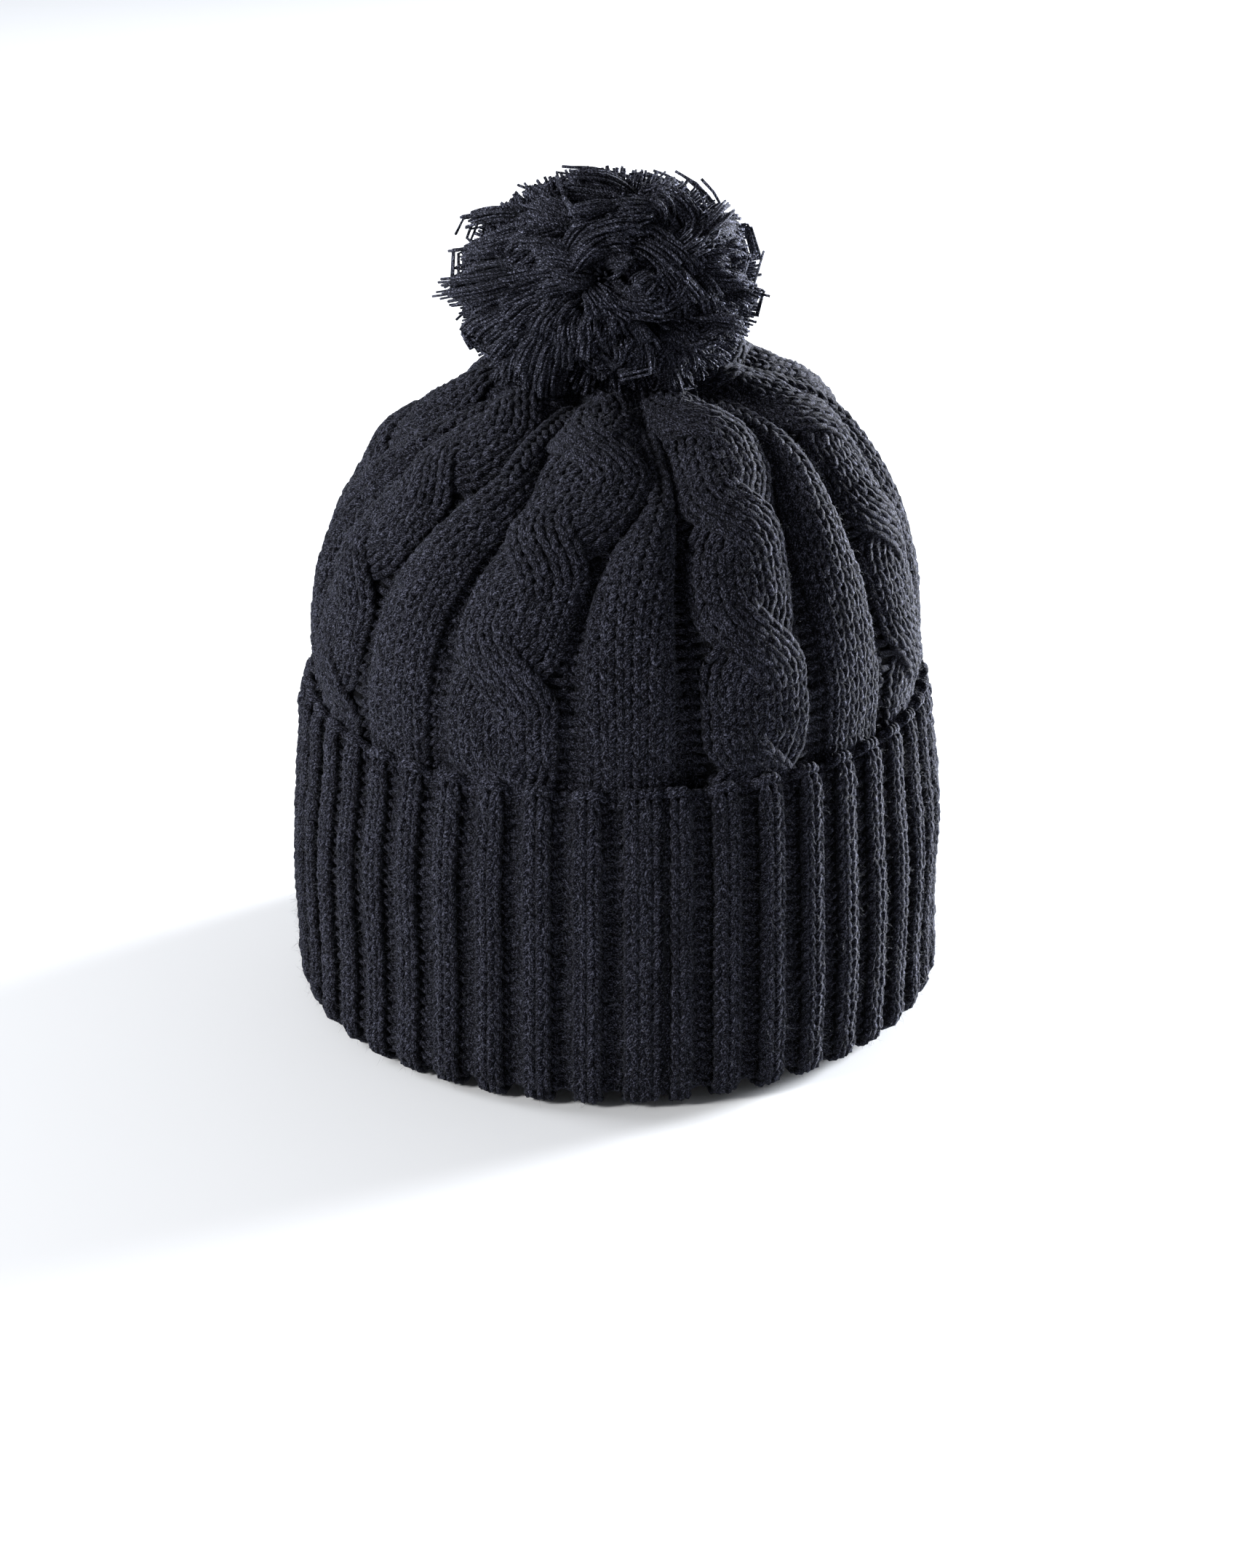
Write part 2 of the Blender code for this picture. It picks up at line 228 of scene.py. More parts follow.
def tube_pieces(name, paths, radii, facing, sides, closed, finish, body, twist=YARN_TWIST,
                shade=None):
    """The same tubes, split into numbered pieces that are each small enough, riding on a body."""
    each = paths.shape[1] * sides * 2
    per_piece = max(1, FACE_LIMIT // each)
    shade = np.ones(paths.shape[:2]) if shade is None else np.broadcast_to(shade, paths.shape[:2])
    made = []
    for number, start in enumerate(range(0, len(paths), per_piece)):
        part = slice(start, start + per_piece)
        piece = tubes(f"{name}_{number + 1}", paths[part], radii[part], facing[part], sides, closed, finish,
                      twist, shade[part])
        made.append(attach(piece, body))
    return made


def shell(name, outside, inside, finish):
    """A closed sheet from two grids (rows, columns, 3) that run all the way round, joined at both edges."""
    rows, columns = outside.shape[:2]
    points = np.concatenate((outside.reshape(-1, 3), inside.reshape(-1, 3)))
    index = np.arange(rows * columns).reshape(rows, columns)
    beside = np.roll(index, -1, axis=1)
    outer = np.stack((index[:-1], beside[:-1], beside[1:], index[1:]), -1).reshape(-1, 4)
    inner = outer[:, ::-1] + rows * columns
    low = np.stack((beside[0], index[0], index[0] + rows * columns, beside[0] + rows * columns), -1)
    high = np.stack((index[-1], beside[-1], beside[-1] + rows * columns, index[-1] + rows * columns), -1)
    quads = np.concatenate((outer, inner, low, high))
    flat = np.stack((index % columns, index // columns), -1).reshape(-1, 2) * 0.004
    uvs = np.concatenate((flat, flat))[quads]
    return mesh_object(name, points, quads, uvs, finish)


# ---------------------------------------------------------------- where things are round the oval


def arc_table():
    """Share of the oval's length, and the angle there, from the angle 0 on."""
    angles = np.linspace(0, TAU, 4001)
    speed = np.hypot(HALF_WIDTH * np.sin(angles), HALF_DEPTH * np.cos(angles))
    length = np.concatenate(([0], np.cumsum((speed[1:] + speed[:-1]) / 2)))
    return length / length[-1], angles


ARC_SHARES, ARC_ANGLES = arc_table()


def angle_after(start, fraction):
    """The angle a fraction of the oval's length on from the start angle."""
    total = np.interp(start, ARC_ANGLES, ARC_SHARES) + fraction
    whole = np.floor(total)
    return np.interp(total - whole, ARC_SHARES, ARC_ANGLES) + TAU * whole


def outward(angle):
    """The direction square to the oval at an angle, flat in the floor's plane."""
    normal = np.stack((np.cos(angle) / HALF_WIDTH, np.sin(angle) / HALF_DEPTH, np.zeros_like(angle)), -1)
    return unit(normal)


def eased_steps(values, width):
    """A value for each wale as a smooth function of the wale coordinate, changing over width wales."""
    fine = 32
    steps = np.repeat(values, fine).astype(float)
    reach = max(1, int(width * fine / 2))
    window = np.hanning(2 * reach + 3)[1:-1]
    around = np.concatenate((steps[-reach:], steps, steps[:reach]))
    smooth = np.convolve(around, window / window.sum(), mode="valid")
    places = (np.arange(len(smooth) + 2) - 0.5) / fine
    smooth = np.concatenate((smooth[-1:], smooth, smooth[:1]))
    return lambda x: np.interp(np.mod(x, len(values)), places, smooth)


def stitch_jitter(rows, wales, size):
    """Small random shifts for each stitch, as a function of the wale coordinate in each row."""
    amounts = rng.normal(0, size, (rows, wales))
    amounts = np.concatenate((amounts, amounts[:, :1]), axis=1)

    def shifts(x):
        place = np.mod(x, wales)
        low = np.minimum(place.astype(int), wales - 1)
        share = ease(place - low)
        row = np.arange(rows)[:, None]
        return amounts[row, low] * (1 - share) + amounts[row, low + 1] * share

    return shifts


def loops_of_yarn(rows, wales, points, knit):
    """The run of each row's yarn: wale coordinate, row coordinate and how far it stands out, from -1 to 1.
    knit(x) is 1 in a knit wale and -1 in a purl one."""
    along = np.arange(wales * points) / points
    x = np.broadcast_to(along + LOOP_SPREAD * np.sin(2 * TAU * along), (rows, wales * points))
    y = np.arange(rows)[:, None] - LOOP_HEIGHT / 2 * np.cos(TAU * along)[None, :]
    side = -knit(along) * np.cos(2 * TAU * along)
    along = np.broadcast_to(along, x.shape)
    x = x + stitch_jitter(rows, wales, JITTER_ALONG)(along)
    y = y + stitch_jitter(rows, wales, JITTER_UP)(along)
    depth = side + stitch_jitter(rows, wales, JITTER_DEPTH)(along)
    return along, x, y, depth


def wale_round(x, knit):
    """Knit wales are round cords with a crease on each side. knit is 1 there and -1 in a purl wale."""
    return -WALE_ROUND * np.cos(TAU * x) * np.clip(knit, 0, 1)


def stitch_shade(depth, x, knit, relief):
    """Painted shade for the yarn's colour, from how open the yarn lies: less where it dives behind other
    loops, at the sides of a knit wale and in the channels between ribs, where relief is -1."""
    side = np.clip(knit, 0, 1) * (0.5 + 0.5 * np.cos(TAU * x))
    return ease((depth + 1.15) / 1.9) * (1 - 0.55 * side) * (0.82 + 0.18 * relief)


def from_seam(x, wales):
    """Wales from the seam, the short way round, on a band that is this many wales round."""
    return np.mod(x + wales / 2, wales) - wales / 2


# ---------------------------------------------------------------- cuff


def rib_layout():
    """Which wales are knit, and their widths, from the seam on. The seam has knit wales on both sides."""
    knit = [1, 1] + [-1, -1, 1, 1] * RIBS + [-1, -1, 1, 1, 1]
    widths = np.where(np.array(knit) > 0, KNIT_WIDTH, PURL_WIDTH)
    edges = np.concatenate(([0], np.cumsum(widths)))
    return np.array(knit), edges / edges[-1]


RIB_KNIT, RIB_EDGES = rib_layout()
RIB_WALES_ROUND = len(RIB_KNIT)
SEAM_ANGLE = np.arccos(SEAM_X / HALF_WIDTH)
rib_side = eased_steps(RIB_KNIT, 0.3)
rib_relief = eased_steps(RIB_KNIT, 1.0)


def rib_angle(x):
    """The angle from +X of a wale coordinate of the cuff."""
    whole = np.floor(x / RIB_WALES_ROUND)
    fraction = np.interp(x - whole * RIB_WALES_ROUND, np.arange(RIB_WALES_ROUND + 1), RIB_EDGES)
    return angle_after(SEAM_ANGLE, fraction + whole)


def seam_groove(x):
    """The groove that the seam pulls into the wide rib it runs through."""
    return -SEAM_DEPTH * np.exp(-((from_seam(x, RIB_WALES_ROUND) / 0.42) ** 2))


def rib_height(x, share=1.0):
    """How far the ribs stand out or lie in. share is lower where the ribs are stretched flatter."""
    relief = rib_relief(x)
    return share * RIB_RELIEF * np.where(relief < 0, VALLEY_SHARE * relief, relief) + seam_groove(x)


def lean(height):
    """How far the cuff has drawn in at a height."""
    return LEAN * ease((height - LEAN_START) / (EDGE_TOP - LEAN_START))


def cuff_section():
    """The middle of the fabric from the cuff's top, down its outside, round the fold and up to the fold's
    inner end."""
    heights = np.linspace(EDGE_TOP - 0.0016, FOLD_CENTRE, 60)
    outside = np.stack((OUTER_INSET + lean(heights), heights), -1)
    outside[:, 0] += 0.0007 * ease((heights - EDGE_TOP + 0.006) / 0.004)
    middle = (OUTER_INSET + INNER_INSET) / 2
    radius = (INNER_INSET - OUTER_INSET) / 2
    turn = np.linspace(0, np.pi, 20)[1:]
    fold = np.stack((middle - radius * np.cos(turn), FOLD_CENTRE - radius * np.sin(turn)), -1)
    rise = np.linspace(FOLD_CENTRE, LAYER_JOIN, 6)[1:]
    inside = np.stack((np.full_like(rise, INNER_INSET), rise), -1)
    return section_table(np.concatenate((outside, fold, inside)))


def section_table(line):
    """A section's length so far, its line of insets and heights, and the direction that faces out of it."""
    step = unit(np.gradient(line, axis=0))
    facing = np.stack((step[:, 1], -step[:, 0]), -1)
    travelled = np.concatenate(([0], np.cumsum(np.linalg.norm(np.diff(line, axis=0), axis=1))))
    return travelled, line, facing


def on_section(section, travelled, x, out):
    """Points of a ribbed band at a length along its section, a wale coordinate and a distance out."""
    length, line, facing = section
    inset = np.interp(travelled, length, line[:, 0])
    height = np.interp(travelled, length, line[:, 1])
    face_in = np.interp(travelled, length, facing[:, 0])
    face_up = np.interp(travelled, length, facing[:, 1])
    angle = rib_angle(x)
    place = np.stack(((HALF_WIDTH - inset) * np.cos(angle), (HALF_DEPTH - inset) * np.sin(angle), height), -1)
    face = -outward(angle) * face_in[..., None]
    face[..., 2] += face_up
    return place + face * out[..., None], face


def rib_rows(section, rows, start, points, sides, name, body, relief=1.0, face=1):
    """The courses of a ribbed band. face is -1 where the other side of the fabric is the one that shows."""
    along, x, y, depth = loops_of_yarn(rows, RIB_WALES_ROUND, points, rib_side)
    waver = WAVER * np.sin(along * 0.11 + np.arange(rows)[:, None] * 0.35)
    knit = rib_side(x)
    out = rib_height(along, relief) + LOOP_DEPTH * depth + wale_round(x, knit) + waver
    paths, facing = on_section(section, start + y * RIB_ROW, x, out)
    radii = np.full(paths.shape[:2], YARN_RADIUS) * (1 + 0.06 * rng.normal(size=(rows, 1)))
    # Painted shade: the yarn's colour darkens where it lies deep between its neighbours.
    shade = stitch_shade(face * depth, x, face * knit, face * rib_relief(x))
    made = tube_pieces(name, paths, radii, face * facing, sides, True, wool, body, shade=shade)
    return made, (paths, facing)


def rib_ground(section, low, high, name, body, relief=1.0):
    """The felted middle of the band's fabric, which fills the gaps between the courses. Its dark colour is
    painted shade in those gaps.
    """
    travelled = np.linspace(low, high, int((high - low) / 0.0024))[:, None]
    x = np.arange(RIB_WALES_ROUND * GROUND_COLUMNS)[None, :] / GROUND_COLUMNS
    travelled, x = np.broadcast_arrays(travelled, x)
    middle = rib_height(x, relief) - 0.0003
    faces = [on_section(section, travelled, x, middle + side * GROUND_HALF)[0] for side in (1, -1)]
    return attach(shell(name, *faces, shade_ground_wool), body)


def cast_on(section):
    """The edge of the knitting along the cuff's top: two yarns twisted round each other, stitch by stitch."""
    along = np.arange(RIB_WALES_ROUND * 10) / 10
    crest = rib_relief(along)
    paths, facings = [], []
    for turn in (0.0, np.pi):
        twist = TAU * along + turn
        travelled = 0.0003 - 0.0015 * crest - 0.25 * seam_groove(along) + 0.0008 * np.cos(twist)
        out = rib_height(along) - 0.0004 + 0.0008 * np.sin(twist)
        path, facing = on_section(section, travelled, along, out)
        path[:, 2] -= travelled.clip(max=0)
        paths.append(path)
        facings.append(facing)
    radii = np.full((2, len(along)), CAST_ON_RADIUS)
    return tube_pieces("cast_on_yarn", np.array(paths), radii, np.array(facings), 6, True, wool,
                       "turned_cuff")


def inner_section():
    """The middle of the inner layer, from the fold's inner end up to the crown."""
    heights = np.linspace(LAYER_JOIN, BAND_TOP + 0.0020, 60)
    line = np.stack((np.full_like(heights, INNER_INSET), heights), -1)
    return section_table(line)


def build_cuff():
    section = cuff_section()
    length = section[0][-1]
    rows = int((length - FIRST_COURSE / 2) / RIB_ROW)
    yarn, surface = rib_rows(section, rows, FIRST_COURSE, POINTS_PER_STITCH, YARN_SIDES, "cuff_yarn",
                             "turned_cuff")
    edge = cast_on(section)
    ground = rib_ground(section, 0.0008, length, "cuff_ground", "turned_cuff")
    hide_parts("cuff_outer_band", "cuff_fold", "cuff_cast_on_edge")
    return ground, yarn + edge, surface, length


def build_inner_band():
    section = inner_section()
    length = section[0][-1]
    rows = int(length / RIB_ROW)
    yarn, _ = rib_rows(section, rows, 0.0010, INNER_POINTS, INNER_SIDES, "inner_band_yarn", "beanie",
                       INNER_RELIEF, face=-1)
    ground = rib_ground(section, 0.0, length, "inner_band_ground", "beanie", INNER_RELIEF)
    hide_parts("cuff_inner_band")
    return ground, yarn, length


# ---------------------------------------------------------------- crown


def crown_layout():
    """Which wales are knit, from the seam's channel on. A panel is a cable or a smooth rib with a purl
    wale, half of a channel, on each side."""
    knit = []
    for wales in (CABLE_WALES, RIB_WALES) * REPEATS:
        knit += [-1] + [1] * wales + [-1]
    return np.array(knit)


CROWN_KNIT = crown_layout()
CROWN_WALES = len(CROWN_KNIT)
PANEL_WALES = np.array([CABLE_WALES + 2, RIB_WALES + 2] * REPEATS)
PANEL_STARTS = np.concatenate(([0], np.cumsum(PANEL_WALES)))
crown_side = eased_steps(CROWN_KNIT, 0.3)
crown_relief = eased_steps(CROWN_KNIT, 1.3)

# The row where each cable's crossings start
CABLE_STARTS = np.mod(np.array([2.0, 6.5, 4.0, 1.0, 7.5, 3.0, 5.0, 0.5]), CABLE_PERIOD)


def dome_height(share, angle):
    """Height of the crown at a share of the way out from the middle: a dome that leans, with a dip on top."""
    lift = (DOME_RISE - HALF_FABRIC) * np.clip(1 - share**2, 0, None) ** (1 / DOME_ROUNDNESS)
    tilt = 1 - SIDE_LEAN * share * np.cos(angle) - FRONT_LEAN * share * np.sin(angle)
    return SHOULDER + lift * tilt - DIP_DEPTH * np.exp(-((share / DIP_WIDTH) ** 2))


def meridian_table():
    """Length along a line from the crown's lowest row to its top, with the wall's height and the share of
    the way out from the middle there."""
    walls = np.linspace(CROWN_START, SHOULDER, 60)
    turns = np.linspace(0, np.arccos(TOP_SHARE), 600)
    shares = np.cos(turns)
    heights = np.concatenate((walls[:-1], dome_height(shares, np.pi / 4)))
    shares = np.concatenate((np.ones(len(walls) - 1), shares))
    walls = np.concatenate((walls[:-1], np.full(len(turns), SHOULDER)))
    reach = shares * (HALF_WIDTH + HALF_DEPTH - 2 * DOME_INSET) / 2
    steps = np.hypot(np.diff(reach), np.diff(heights))
    return np.concatenate(([0], np.cumsum(steps))), walls, shares


MERIDIAN, MERIDIAN_WALLS, MERIDIAN_SHARES = meridian_table()
CROWN_ROWS = int(MERIDIAN[-1] / CROWN_ROW)


def crown_share(length):
    return np.interp(length, MERIDIAN, MERIDIAN_SHARES)


def crown_place(length, angle):
    """A point in the middle of the crown's fabric."""
    share = crown_share(length)
    wall = np.interp(length, MERIDIAN, MERIDIAN_WALLS)
    inset = WALL_INSET + (DOME_INSET - WALL_INSET) * ease((wall - EDGE_TOP) / (SHOULDER - EDGE_TOP))
    dome = dome_height(share, angle) - dome_height(np.ones_like(share), angle)
    reach, reach_deep = share * (HALF_WIDTH - inset), share * (HALF_DEPTH - inset)
    return np.stack((reach * np.cos(angle), reach_deep * np.sin(angle), wall + dome), -1)


def crown_frame(length, angle):
    """A point of the crown with the directions outwards and round the hat there."""
    place = crown_place(length, angle)
    round_hat = unit(crown_place(length, angle + 0.002) - place)
    upwards = unit(crown_place(length + 0.0006, angle) - crown_place(length - 0.0006, angle))
    return place, unit(np.cross(round_hat, upwards)), round_hat


def panel_at(local):
    """The number of the panel that a wale coordinate lies in."""
    return np.clip(np.searchsorted(PANEL_STARTS, local, side="right") - 1, 0, 2 * REPEATS - 1)


def panel_widths(share):
    """What part of the way round each panel takes up. The smooth ribs give way to the cables higher up, and
    the one beside the seam gives way first."""
    fall = 1 - 0.78 * ease((0.97 - share) / 0.42)
    fall_at_seam = 1 - 0.985 * ease((0.985 - share) / 0.36)
    widths = np.empty((2 * REPEATS,) + share.shape)
    widths[0::2] = CABLE_WALES + 2
    widths[1::2] = (RIB_WALES + 2) * fall
    widths[-1] = (RIB_WALES + 2) * fall_at_seam
    return widths / widths.sum(axis=0)


def crown_point(x, length, out):
    """A point of the crown's fabric at a wale coordinate, a length along the column and a distance out.
    Each panel keeps its natural width where there is room, and sinks into the channels where there isn't."""
    x, length, out = np.broadcast_arrays(x, length, out)
    share = crown_share(length)
    turns = np.floor(x / CROWN_WALES)
    local = x - turns * CROWN_WALES
    panel = panel_at(local)
    widths = panel_widths(share)
    starts = np.concatenate((np.zeros((1,) + share.shape), np.cumsum(widths, axis=0)))
    start = np.take_along_axis(starts, panel[None], 0)[0]
    width = np.take_along_axis(widths, panel[None], 0)[0]
    wales = PANEL_WALES[panel]
    across = (local - PANEL_STARTS[panel]) / wales * 2 - 1  # -1 to 1 over the panel
    natural = wales * CROWN_WALE / 2
    room = np.maximum(width * (CROWN_PERIMETER * share) / 2, 0.0004)
    crowding = np.maximum(natural / room, 1.0)
    bend = np.sqrt(np.maximum(1 - crowding**-3.2, 1e-4))
    v = bend * crowding * across
    whole = bend * crowding
    sideways = np.tanh(v) / np.tanh(whole)
    slope = 1 / np.cosh(v) ** 2
    limit = PLEAT_DEPTH * ease(share / 0.35) + 0.0008
    sunk = room / bend * v**2 / np.sqrt(v**2 + 2)
    sunk = np.where(crowding > 1.001, limit * np.tanh(sunk / limit), 0.0)
    steep = np.sign(v) * np.sqrt(np.clip(1 - slope**2, 0, 1)) / np.cosh(sunk / limit) ** 0.5
    narrow = ease(1 - room / 0.009)
    crest = 0.0011 * np.cos(np.pi / 2 * across) - 0.0009 - 0.0035 * narrow * ease(share / 0.3)
    middle = start + width / 2
    angle = angle_after(SEAM_CHANNEL_ANGLE, middle + sideways * width / 2 + turns)
    place, normal, round_hat = crown_frame(length, angle)
    tilt = np.where(crowding > 1.001, steep, 0.0)
    face = unit(normal + round_hat * (tilt * 1.2)[..., None])
    return place + normal * (crest - sunk)[..., None] + face * out[..., None], face


def cable_shift(x, row, y):
    """The two halves of a cable swap places, one in front of the other. For a place at y in wale x of a row
    this gives its shift along the row in wales, how far it lies in front or behind, and its half's round."""
    local = np.mod(x, CROWN_WALES)
    panel = panel_at(local)
    inside = local - PANEL_STARTS[panel] - 1
    is_cable = (panel % 2 == 0) & (inside >= 0) & (inside < CABLE_WALES)
    since = np.mod(row - CABLE_STARTS[panel // 2], CABLE_PERIOD)
    crossing = is_cable & (since < CROSSING_ROWS)
    passed = np.clip((since + y - row) / CROSSING_ROWS, 0, 1)
    half = CABLE_WALES / 2
    place = np.mod(inside, half) / half
    in_front = (inside >= half) == (since < CROSSING_ROWS / 2)
    front_left = half - half * ease(passed / 0.85)
    front_right = 2 * half - half * ease((passed - 0.15) / 0.85)
    back_left = half * ease((passed - 0.3) / 0.7)
    back_right = half + half * ease(passed / 0.7)
    left = np.where(in_front, front_left, back_left)
    right = np.where(in_front, front_right, back_right)
    shift = np.where(crossing, left + (right - left) * place - inside, 0.0)
    height = np.where(crossing, np.where(in_front, 1.0, -1.0) * np.sin(np.pi * passed), 0.0)
    bulge = np.where(is_cable, np.sin(np.pi * place), 0.0)
    return shift, height, bulge


def seam_valley(x):
    """How deep the wide channel with the crown's seam lies."""
    return SEAM_DEPTH * np.exp(-((from_seam(x, CROWN_WALES) / 1.5) ** 2))


def crown_ground():
    """The felted middle of the crown's fabric. Its dark colour is painted shade in the gaps between the
    loops.
    """
    rows = np.linspace(0.001, MERIDIAN[-1] - 0.001, 80)[:, None]
    columns = np.arange(CROWN_WALES * GROUND_COLUMNS)[None, :] / GROUND_COLUMNS
    middle = 0.0009 * crown_relief(columns) - seam_valley(columns) - 0.0011
    faces = [crown_point(columns, rows, middle + side * GROUND_HALF)[0] for side in (1, -1)]
    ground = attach(shell("crown_ground", *faces, shade_ground_wool), "beanie")
    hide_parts("crown_fabric", "crown_gathered_top")
    return ground


def build_crown():
    along, x, y, depth = loops_of_yarn(CROWN_ROWS, CROWN_WALES, POINTS_PER_STITCH, crown_side)
    shift, height, bulge = cable_shift(along, np.arange(CROWN_ROWS)[:, None] + 0 * x, y)
    lift = np.where(height > 0, CABLE_FRONT, CABLE_BACK) * height + CABLE_ROUND * bulge
    lift = lift * ease((y * CROWN_ROW - 0.018) / 0.014)
    share = crown_share(y * CROWN_ROW)
    relief = CROWN_RELIEF * crown_relief(along) - seam_valley(along)
    knit = crown_side(x)
    out = relief + LOOP_DEPTH * depth + wale_round(x, knit) + lift
    paths, facing = crown_point(x + shift, np.clip(y * CROWN_ROW, 0, MERIDIAN[-1]), out)
    radii = YARN_RADIUS * CROWN_YARN * (0.72 + 0.28 * ease(share / 0.6))
    # Painted shade: the yarn's colour darkens where it lies deep between its neighbours.
    shade = stitch_shade(depth, x, knit, crown_relief(along))
    yarn = tube_pieces("crown_yarn", paths, radii, facing, YARN_SIDES, True, wool, "beanie",
                       shade=shade)
    return crown_ground(), yarn, (paths, facing)


# ---------------------------------------------------------------- loose fibres


def fibres(name, surface, count, yarn_radius, body, length=YARN_FIBRE_LENGTHS):
    """Fine fibres that stand off the yarn, thinner towards their tips. They lie on the floor where they
    reach it."""
    paths, facing = surface
    flat_paths, flat_facing = paths.reshape(-1, 3), facing.reshape(-1, 3)
    picked = rng.integers(0, len(flat_paths), count)
    normal = unit(flat_facing[picked])
    sideways = unit(np.cross(normal, rng.normal(size=(count, 3))))
    root_way = unit(normal + sideways * rng.uniform(-0.9, 0.9, (count, 1)))
    root = flat_paths[picked] + root_way * yarn_radius * 0.9
    lengths = rng.uniform(*length, (count, 1))
    lean_way = unit(root_way * 0.55 + unit(np.cross(normal, sideways)) * rng.normal(0, 0.8, (count, 1)))
    bent_way = unit(lean_way + sideways * rng.normal(0, 0.7, (count, 1)) + np.array([0, 0, -0.25]))
    middle = root + lean_way * lengths * 0.5
    tip = middle + bent_way * lengths * 0.5
    line = np.stack((root, middle, tip), axis=1)
    line[..., 2] = np.maximum(line[..., 2], 0.0002)
    radii = np.broadcast_to(np.array(FIBRE_RADII), (count, 3))
    aside = np.broadcast_to(sideways[:, None], line.shape)
    return tube_pieces(name, line, radii, aside, 3, False, fibre_wool, body)


# ---------------------------------------------------------------- pom-pom


PILE_CENTRE = np.array((0.002, 0.004, 0.2165))
PILE_REACH = np.array([0.0448, 0.0356, 0.0390])  # half size to the side, up, and to the front and back
PILE_FRONT = unit(np.array([0.0, 0.95, 0.31]))
PILE_SIDE = np.array([-1.0, 0.0, 0.0])
PILE_UP = np.cross(PILE_FRONT, PILE_SIDE)
PILE_TURN = 0.82  # share of the pile's half size where strands start to turn away round its side
STRAND_POINTS = 9
STRAND_SIDES = 4
STRANDS_PER_TUFT = 20
HEART_REACH = (0.0462, 0.0395, 0.0330)  # half size along X, Y and Z that its swell is a share of
HEART_SWELL = 0.74

# Bundles of strands that lie round the pile: how many tufts, how wide the bundle starts and ends, how far
# out it lies, and its way over the pile, in half sizes to the right and up as seen from the back of the hat.
BUNDLES = (
    (38, 0.34, 0.72, 0.99, ((-0.10, 0.08), (-0.36, 0.09), (-0.64, 0.04), (-0.95, -0.06))),  # sweeps left
    (26, 0.26, 0.60, 0.97, ((-0.04, 0.42), (-0.28, 0.52), (-0.55, 0.50), (-0.88, 0.36))),  # left, higher
    (28, 0.18, 0.34, 1.01, ((-0.34, 0.02), (-0.14, 0.33), (0.14, 0.40), (0.38, 0.22), (0.50, -0.06),
                            (0.56, -0.30))),  # arc over the hole
    (15, 0.12, 0.20, 0.94, ((-0.20, 0.00), (-0.04, 0.18), (0.14, 0.19), (0.26, 0.04))),  # inner arc
    (28, 0.14, 0.48, 1.00, ((0.46, 0.18), (0.54, 0.44), (0.34, 0.68), (0.04, 0.66), (-0.26, 0.60))),  # upper
    (11, 0.10, 0.18, 0.98, ((0.28, 0.28), (0.32, 0.46), (0.16, 0.58), (0.02, 0.46))),  # eye above the arc
    (28, 0.22, 0.74, 0.97, ((0.44, 0.18), (0.62, 0.26), (0.78, 0.30), (0.95, 0.26))),  # fans right
    (12, 0.09, 0.13, 1.00, ((-0.06, 0.02), (0.08, -0.17), (0.27, -0.21), (0.37, -0.08), (0.27, 0.02),
                            (0.16, -0.04))),  # curl by the hole
    (28, 0.24, 0.60, 0.98, ((-0.20, 0.00), (-0.46, -0.12), (-0.66, -0.28), (-0.86, -0.50))),  # down left
    (28, 0.24, 0.52, 1.00, ((-0.22, -0.10), (-0.38, -0.36), (-0.48, -0.66), (-0.54, -0.98))),  # hangs left
    (19, 0.18, 0.40, 0.97, ((-0.18, -0.06), (-0.06, -0.20), (0.02, -0.42), (0.06, -0.72))),  # hangs middle
    (7, 0.05, 0.09, 1.02, ((-0.14, -0.50), (-0.10, -0.66), (0.02, -0.62), (0.02, -0.50),
                           (-0.06, -0.44))),  # small ring
    (11, 0.10, 0.22, 1.02, ((0.42, -0.54), (0.58, -0.46), (0.72, -0.38), (0.84, -0.32))),  # clump right
    (15, 0.14, 0.36, 0.98, ((0.48, -0.36), (0.54, -0.58), (0.56, -0.76), (0.55, -0.94))),  # hangs right
    (18, 0.18, 0.46, 0.95, ((0.54, 0.04), (0.74, -0.04), (0.86, -0.14), (0.96, -0.24))),  # right side
    (15, 0.16, 0.44, 0.95, ((-0.16, 0.52), (-0.26, 0.70), (-0.32, 0.84), (-0.36, 0.95))),  # top left
    (15, 0.16, 0.44, 0.95, ((0.20, 0.54), (0.30, 0.72), (0.38, 0.84), (0.44, 0.93))),  # top right
)


def on_pile(right, up, layer, front):
    """A point on the pile's rounded front, or with front -1 on its back, which mirrors it."""
    depth = np.sqrt(np.clip(1 - (right**2 + up**2), 0.0, 1))
    size = layer[..., None] * PILE_REACH
    point = size[..., 0:1] * right[..., None] * PILE_SIDE + size[..., 1:2] * up[..., None] * PILE_UP
    return point + front * size[..., 2:3] * depth[..., None] * PILE_FRONT


def along_way(points, steps):
    """A smooth way through the points, at steps from 0 to 1."""
    points = np.array(points)
    ends = np.concatenate(([2 * points[0] - points[1]], points, [2 * points[-1] - points[-2]]))
    place = np.clip(steps, 0, 1) * (len(points) - 1)
    low = np.minimum(place.astype(int), len(points) - 2)
    t = (place - low)[..., None]
    a, b, c, d = ends[low], ends[low + 1], ends[low + 2], ends[low + 3]
    return 0.5 * (2 * b + (c - a) * t + (2 * a - 5 * b + 4 * c - d) * t**2 + (3 * b - a - 3 * c + d) * t**3)


